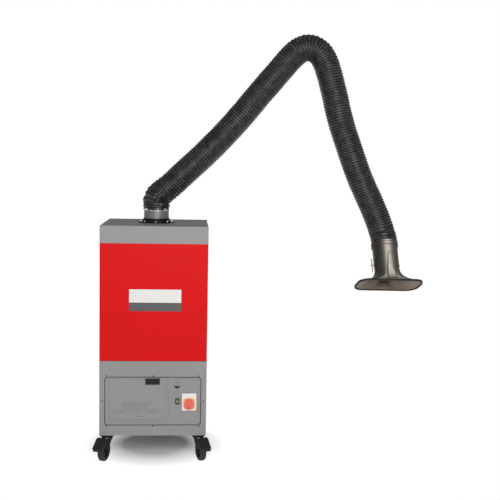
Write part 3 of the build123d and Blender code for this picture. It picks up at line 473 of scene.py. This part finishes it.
def makeHose():
    whole = bake(hoseCurve(), hoseTree(), hoseSizes, hoseFabric, "wholeHose")
    sides = hoseSizes["sides"]
    points = np.array([v.co for v in whole.data.vertices]).reshape(-1, sides, 3)
    ribs = np.array([r.value for r in whole.data.attributes["rib"].data]).reshape(-1, sides)
    middle = points.mean(axis=1)[:, [0, 2]]
    cut = 0
    for name, first, second, start, end, last in hoseParts:
        stop = len(points) - 1
        if last:
            stop = int(np.argmin(np.linalg.norm(middle - np.array(last), axis=1)))
        rings = points[cut:stop + 1]
        faces = []
        for ring in range(len(rings) - 1):
            faces += bandFaces(ring * sides, sides)
        piece = meshPiece(name, rings.reshape(-1, 3), faces, hoseFabric)
        rib = piece.data.attributes.new("rib", "FLOAT", "POINT")
        rib.data.foreach_set("value", ribs[cut:stop + 1].astype(np.float32).ravel())
        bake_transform(piece)
        if name == "hoseBase":
            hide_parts("hose_base_bend", "hose_lower")
        if name == "hoseElbow":
            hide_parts("hose_elbow_bend")
        if name == "hoseWrist":
            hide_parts("hose_upper")
        if name == "hoseHood":
            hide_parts("hose_hood_bend")
        cut = stop
    bpy.data.objects.remove(whole)


makeHose()
print("stage: hose")


# control panel
def roundedLoop(x0, z0, x1, z1, radius, steps=6):
    # points of a rounded rectangle, counter-clockwise seen from the front
    corners = ((x1 - radius, z1 - radius, 0), (x0 + radius, z1 - radius, 90), (x0 + radius, z0 + radius, 180),
               (x1 - radius, z0 + radius, 270))
    loop = []
    for cornerX, cornerZ, start in corners:
        for k in range(steps + 1):
            angle = radians(start + 90 * k / steps)
            loop.append((cornerX + radius * cos(angle), cornerZ + radius * sin(angle)))
    return loop


def boxMiddle(name):
    low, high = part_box(name)
    return (low.x + high.x) / 2, low.y, (low.z + high.z) / 2


# frames (x, z of two corners), drawn as dark lines that are painted shade along the panel's embossed
# outlines; printed bars (x, z, x, thickness); and a printed round symbol under the horn
printAndEmbossSizes = {
    "line": 0.0016, "corner": 0.009, "lift": 0.00035, "symbol": (0.145, 0.427), "symbolRadius": 0.0135,
    "symbolSteps": 28,
}
embossShadeFrames = [
    (-0.270, 0.241, 0.082, 0.514), (0.096, 0.241, 0.282, 0.514), (-0.262, 0.250, 0.065, 0.321),
    (-0.246, 0.257, 0.050, 0.314),
]
printBars = [
    (-0.190, 0.361, -0.010, 0.0035), (-0.196, 0.346, -0.018, 0.0035), (-0.180, 0.330, -0.040, 0.0035),
    (-0.228, 0.298, -0.172, 0.004), (-0.120, 0.298, -0.078, 0.004), (-0.036, 0.298, 0.028, 0.004),
    (-0.104, 0.277, -0.058, 0.004),
]
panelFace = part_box("control_panel")[0].y - printAndEmbossSizes["lift"]


# the frames are painted shade along embossed outlines, the bars and the symbol are print
def addPanelPrintAndEmbossShade():
    line, corner = printAndEmbossSizes["line"], printAndEmbossSizes["corner"]
    places, faces = [], []
    for x0, z0, x1, z1 in embossShadeFrames:
        outer = roundedLoop(x0, z0, x1, z1, corner)
        faces += bandFaces(len(places), len(outer))
        places += outer + roundedLoop(x0 + line, z0 + line, x1 - line, z1 - line, corner - line)
    middleX, middleZ = printAndEmbossSizes["symbol"]
    count = printAndEmbossSizes["symbolSteps"]
    faces += bandFaces(len(places), count)
    for radius in (printAndEmbossSizes["symbolRadius"], printAndEmbossSizes["symbolRadius"] - line):
        for k in range(count):
            angle = 2 * pi * k / count
            places.append((middleX + radius * cos(angle), middleZ + radius * sin(angle)))
    for x0, z, x1, thick in printBars:
        base = len(places)
        places += [(x0, z), (x1, z), (x1, z + thick), (x0, z + thick)]
        faces.append((base, base + 1, base + 2, base + 3))
    points = [(x, panelFace, z) for x, z in places]
    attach(meshPiece("panelPrintAndEmbossShade", points, faces, printAndEmbossShade, smooth=False), "cabinet")


# painted shade: a dark band round the panel, from over its edge to under it, where the gap round the panel
# lies in shade
gapSizes = {"halfX": 0.294, "halfZ": 0.151, "middle": 0.374, "corner": 0.020, "over": 0.0012, "under": 0.0030}


def addPanelGap():
    loops = []
    for grow in (gapSizes["over"], -gapSizes["under"]):
        halfX, halfZ = gapSizes["halfX"] + grow, gapSizes["halfZ"] + grow
        loops.append(roundedLoop(-halfX, gapSizes["middle"] - halfZ, halfX, gapSizes["middle"] + halfZ,
                                 gapSizes["corner"] + grow))
    points = [(x, panelFace, z) for loop in loops for x, z in loop]
    faces = bandFaces(0, len(loops[0]))
    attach(meshPiece("panelGap", points, faces, paintedShade, smooth=False), "cabinet")


# painted shade: a dark band at the seam between the lower and the filter housing, where the gap between them
# lies in shade
seamSizes = {"level": 0.624, "half": 0.3278, "corner": 0.0063, "tall": 0.0018}


def addHousingSeam():
    half = seamSizes["half"]
    loop = roundedLoop(-half, -half, half, half, seamSizes["corner"])
    points = [(x, y, seamSizes["level"] + side * seamSizes["tall"] / 2) for side in (-1, 1) for x, y in loop]
    faces = bandFaces(0, len(loop))
    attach(meshPiece("housingSeam", points, faces, paintedShade, smooth=False), "cabinet")


# painted shadow under the horn's dome, a dark crescent over the lower part of its face
hornShadowSizes = {"radius": 0.0176, "sag": 0.0022, "steps": 18, "from": 188, "to": 352, "lift": 0.0003}


def addHornShadow():
    middleX, front, middleZ = boxMiddle("signal_horn")
    radius = hornShadowSizes["radius"]
    under = [(radius * cos(radians(a)), radius * sin(radians(a)))
             for a in np.linspace(hornShadowSizes["from"], hornShadowSizes["to"], hornShadowSizes["steps"])]
    over = [(x, under[0][1] - hornShadowSizes["sag"] * (1 - (x / radius) ** 2)) for x, z in reversed(under)]
    points = [(middleX + x, front - hornShadowSizes["lift"], middleZ + z) for x, z in under + over[1:-1]]
    faces = [tuple(range(len(points)))]
    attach(meshPiece("hornShadow", points, faces, paintedShade, smooth=False), "cabinet")


# pointer on the switch knob
pointerSizes = {"halfWidth": 0.0035, "bottom": 0.024, "top": 0.011, "lift": 0.0003}


def addKnobPointer():
    middleX, front, middleZ = boxMiddle("switch_knob")
    half, bottom, top = (pointerSizes[k] for k in ("halfWidth", "bottom", "top"))
    points = [(middleX + x, front - pointerSizes["lift"], middleZ - drop)
              for x, drop in ((-half, bottom), (half, bottom), (half, top), (-half, top))]
    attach(meshPiece("knobPointer", points, [(0, 1, 2, 3)], darkRed, smooth=False), "switch")


# painted shade in the cross recesses of the panel screws, thin dark bars just in front of the heads
recessShadeSizes = {"arm": 0.0052, "width": 0.0009, "thick": 0.0002}
screwSpots = [(x, z) for x in (-0.283, 0, 0.283) for z in (0.217, 0.531)] + [(-0.310, 0.374), (0.310, 0.374)]


def recessShadeTree():
    tree, source, result = newTree("screwRecess", recessShadeSizes)
    links = tree.links
    both = tree.nodes.new("GeometryNodeJoinGeometry")
    for first, second in (("arm", "width"), ("width", "arm")):
        bar = tree.nodes.new("GeometryNodeMeshCube")
        size = tree.nodes.new("ShaderNodeCombineXYZ")
        links.new(source.outputs[first], size.inputs["X"])
        links.new(source.outputs["thick"], size.inputs["Y"])
        links.new(source.outputs[second], size.inputs["Z"])
        links.new(size.outputs[0], bar.inputs["Size"])
        links.new(bar.outputs["Mesh"], both.inputs[0])
    scatter = tree.nodes.new("GeometryNodeInstanceOnPoints")
    links.new(source.outputs["Geometry"], scatter.inputs["Points"])
    links.new(both.outputs[0], scatter.inputs["Instance"])
    closeTree(tree, scatter.outputs[0], source, result)
    return tree


def addScrewRecessShade():
    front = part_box("panel_screws")[0].y - recessShadeSizes["thick"]
    screwPoints = meshPiece("screwPoints", [(x, front, z) for x, z in screwSpots], [], paintedShade)
    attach(bake(screwPoints, recessShadeTree(), recessShadeSizes, paintedShade, "screwRecessShade"), "cabinet")


addPanelPrintAndEmbossShade()
addPanelGap()
addHousingSeam()
addHornShadow()
addKnobPointer()
addScrewRecessShade()
print("stage: panel details")

# stiffening ridge down the front of the hood, laid on its skin; top and bottom are measured from the neck
ridgeSizes = {
    "top": 0.070, "bottom": 0.266, "halfTop": 0.010, "halfBottom": 0.034, "lift": 0.005, "sunk": 0.0005,
    "sideSlope": 4, "topSlope": 6, "steepest": 0.3, "before": 0.4, "reach": 0.5, "rows": 28, "columns": 14,
}


def addHoodRidge():
    neck = Vector(hoodSizes["nodPlace"]) + hoodDown * hoodSizes["neckDrop"]
    straightX = (Vector((1, 0, 0)) - hoodDown * hoodDown.x).normalized()
    straightY = (-hoodDown).cross(straightX)
    hoodX = straightX * cos(hoodTurn) + straightY * sin(hoodTurn)
    hoodY = (-hoodDown).cross(hoodX)
    skin = BVHTree.FromObject(nodes["hood_shell"], bpy.context.evaluated_depsgraph_get())
    rows, columns = ridgeSizes["rows"], ridgeSizes["columns"]
    points = []
    for row in range(rows + 1):
        down = row / rows
        centre = neck + hoodDown * (ridgeSizes["top"] + (ridgeSizes["bottom"] - ridgeSizes["top"]) * down)
        half = ridgeSizes["halfTop"] + (ridgeSizes["halfBottom"] - ridgeSizes["halfTop"]) * down
        for column in range(columns + 1):
            across = 2 * column / columns - 1
            atSides = min(1.0, (1 - abs(across)) * ridgeSizes["sideSlope"])
            raised = atSides * min(1.0, down * ridgeSizes["topSlope"])
            start = centre + hoodX * (half * across) - hoodY * ridgeSizes["before"]
            place, outward = skin.ray_cast(start, hoodY, ridgeSizes["reach"])[:2]
            if outward.dot(hoodY) > 0:
                outward = -outward
            if outward.dot(hoodY) > -ridgeSizes["steepest"]:  # on a ledge, out is straight ahead
                outward = -hoodY
            points.append(place + outward * (ridgeSizes["lift"] * raised - ridgeSizes["sunk"]))
    width = columns + 1
    corners = [row * width + column for row in range(rows) for column in range(columns)]
    faces = [(c, c + width, c + width + 1, c + 1) for c in corners]
    hoodRidge = meshPiece("hoodRidge", points, faces, hoodPlastic, smooth=False)
    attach(hoodRidge, "hood")
    hoodOnly.objects.link(hoodRidge)


addHoodRidge()
print("stage: hood ridge")

# pale floor that fades to white away from the object
floorSizes = {"half": 60, "shade": 0.62, "clear": 0.2, "faded": 0.45}


def makeFloor():
    paleFloor = surface("paleFloor", (0.8, 0.8, 0.8), 0.9, tone=0.01, grain=0.0)
    tree = paleFloor.node_tree
    distance = nodeWith(tree, "ShaderNodeVectorMath", {}, "LENGTH")
    fade = nodeWith(tree, "ShaderNodeMapRange", {
        "From Min": floorSizes["clear"], "From Max": floorSizes["faded"]})
    shade = nodeWith(tree, "ShaderNodeMapRange", {"To Min": floorSizes["shade"], "To Max": 0.0})
    shader = tree.nodes["Principled BSDF"]
    shader.inputs["Specular IOR Level"].default_value = 0
    shader.inputs["Emission Color"].default_value = (1, 1, 1, 1)
    tree.links.new(tree.nodes["Texture Coordinate"].outputs["Object"], distance.inputs[0])
    tree.links.new(distance.outputs["Value"], fade.inputs["Value"])
    tree.links.new(fade.outputs["Result"], shade.inputs["Value"])
    tree.links.new(fade.outputs["Result"], shader.inputs["Emission Strength"])
    tree.links.new(shade.outputs["Result"], shader.inputs["Base Color"])
    half = floorSizes["half"]
    corners = [(-half, -half, 0), (half, -half, 0), (half, half, 0), (-half, half, 0)]
    floorPlane = meshPiece("floorPlane", corners, [(0, 1, 2, 3)], paleFloor)


makeFloor()
print("stage: floor")
